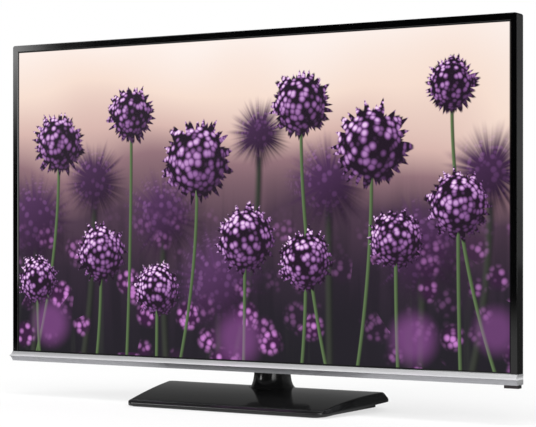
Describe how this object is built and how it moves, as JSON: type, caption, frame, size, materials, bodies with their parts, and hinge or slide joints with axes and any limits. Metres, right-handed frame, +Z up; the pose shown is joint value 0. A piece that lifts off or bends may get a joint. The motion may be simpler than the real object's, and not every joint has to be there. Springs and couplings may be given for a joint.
{
  "type": "flat screen television",
  "caption": "Slim flat screen television with a black bezel, silver lower trim and a deep rear cover, on a swivelling oval neck and a low wedge-shaped gloss base.",
  "frame": {"origin": "on the floor, under the centre of the whole part", "axes": "+Z up, +X to the right as seen by a viewer in front of the screen, +Y to the rear, so the screen faces -Y"},
  "size_m": [0.9084, 0.193, 0.5822],
  "materials": {
    "black_gloss_plastic": "gloss black",
    "black_frame_plastic": "satin gloss black",
    "silver_trim": "satin silver, brushed along its length",
    "screen_face": "semi-gloss dark panel that shows a picture",
    "dark_window": "dark infra-red window",
    "black_cover_plastic": "fine matt texture",
    "inner_plastic": "matt",
    "white_sheet": "matt white",
    "clear_sheet": "frosted",
    "lens_plastic": "clear",
    "light_bar": "white coated aluminium strip",
    "plated_steel": "zinc plated sheet",
    "screw_steel": "black zinc",
    "board_green": "solder mask",
    "heat_sink_metal": "extruded",
    "capacitor_sleeve": "sleeve",
    "transformer_core": "ferrite and tape",
    "cable_jacket": "flexible",
    "ribbon_film": "film",
    "socket_metal": "plated",
    "socket_plastic": "matt",
    "rubber_black": "soft",
    "speaker_paper": "coated paper cone and magnet",
    "cast_metal": "painted casting",
    "black_steel": "painted sheet",
    "slip_plastic": "low friction polymer"
  },
  "bodies": {
    "stand": {"base_cover": "black_gloss_plastic", "base_pan": "black_cover_plastic", "base_weight": "black_steel", "base_feet": "rubber_black", "base_screws": "screw_steel", "swivel_plate": "black_steel", "swivel_washer": "slip_plastic"},
    "set": {"front_bezel": "black_frame_plastic", "bottom_trim": "silver_trim", "trim_end_caps": "silver_trim", "sensor_housing": "black_frame_plastic", "sensor_window": "dark_window", "sensor_board": "board_green", "lcd_cell": "screen_face", "middle_frame": "inner_plastic", "optical_films": "clear_sheet", "diffuser_plate": "white_sheet", "reflector_sheet": "white_sheet", "led_bars": "light_bar", "led_lenses": "lens_plastic", "back_chassis": "plated_steel", "rear_cover": "black_cover_plastic", "rear_cover_screws": "screw_steel", "wall_mount_posts": "plated_steel", "main_board": "board_green", "power_board": "board_green", "timing_board": "board_green", "board_standoffs": "plated_steel", "board_screws": "screw_steel", "heat_sinks": "heat_sink_metal", "power_capacitors": "capacitor_sleeve", "power_transformers": "transformer_core", "signal_ribbon": "ribbon_film", "power_harness": "cable_jacket", "speaker_cables": "cable_jacket", "display_sockets": "socket_metal", "data_socket": "socket_metal", "network_socket": "socket_plastic", "aerial_socket": "socket_metal", "audio_jack": "socket_plastic", "socket_panel": "black_cover_plastic", "power_inlet": "socket_plastic", "inlet_panel": "black_cover_plastic", "speaker_boxes": "inner_plastic", "speaker_drivers": "speaker_paper", "speaker_grommets": "rubber_black", "speaker_screws": "screw_steel", "control_housing": "socket_plastic", "stand_bracket": "plated_steel", "bracket_screws": "screw_steel", "bracket_cover": "black_cover_plastic", "neck_core": "cast_metal", "neck_sleeve": "black_gloss_plastic", "neck_screws": "screw_steel", "pivot_washer": "plated_steel", "pivot_nut": "plated_steel"},
    "tilt_ring": {"control_ring": "inner_plastic"},
    "swing_rocker": {"control_rocker": "inner_plastic"},
    "press_cap": {"control_cap": "black_frame_plastic"}
  },
  "joints": [
    {"name": "swivel", "type": "hinge", "parent": "stand", "child": "set", "pos_m": [0, 0.056, 0.026], "axis": [0, 0, 1], "range_deg": [-20, 20]},
    {"name": "control_tilt", "type": "hinge", "parent": "set", "child": "tilt_ring", "pos_m": [0.385, -0.0008, 0.114], "axis": [1, 0, 0], "range_deg": [-6, 6], "stiffness_Nm_per_rad": 0.3},
    {"name": "control_swing", "type": "hinge", "parent": "tilt_ring", "child": "swing_rocker", "pos_m": [0.385, -0.0008, 0.114], "axis": [0, 0, 1], "range_deg": [-6, 6], "stiffness_Nm_per_rad": 0.3},
    {"name": "control_press", "type": "slide", "parent": "swing_rocker", "child": "press_cap", "axis": [0, -1, 0], "range_m": [0, 0.0008], "stiffness_N_per_m": 1500, "springref_m": -0.0004}
  ]
}
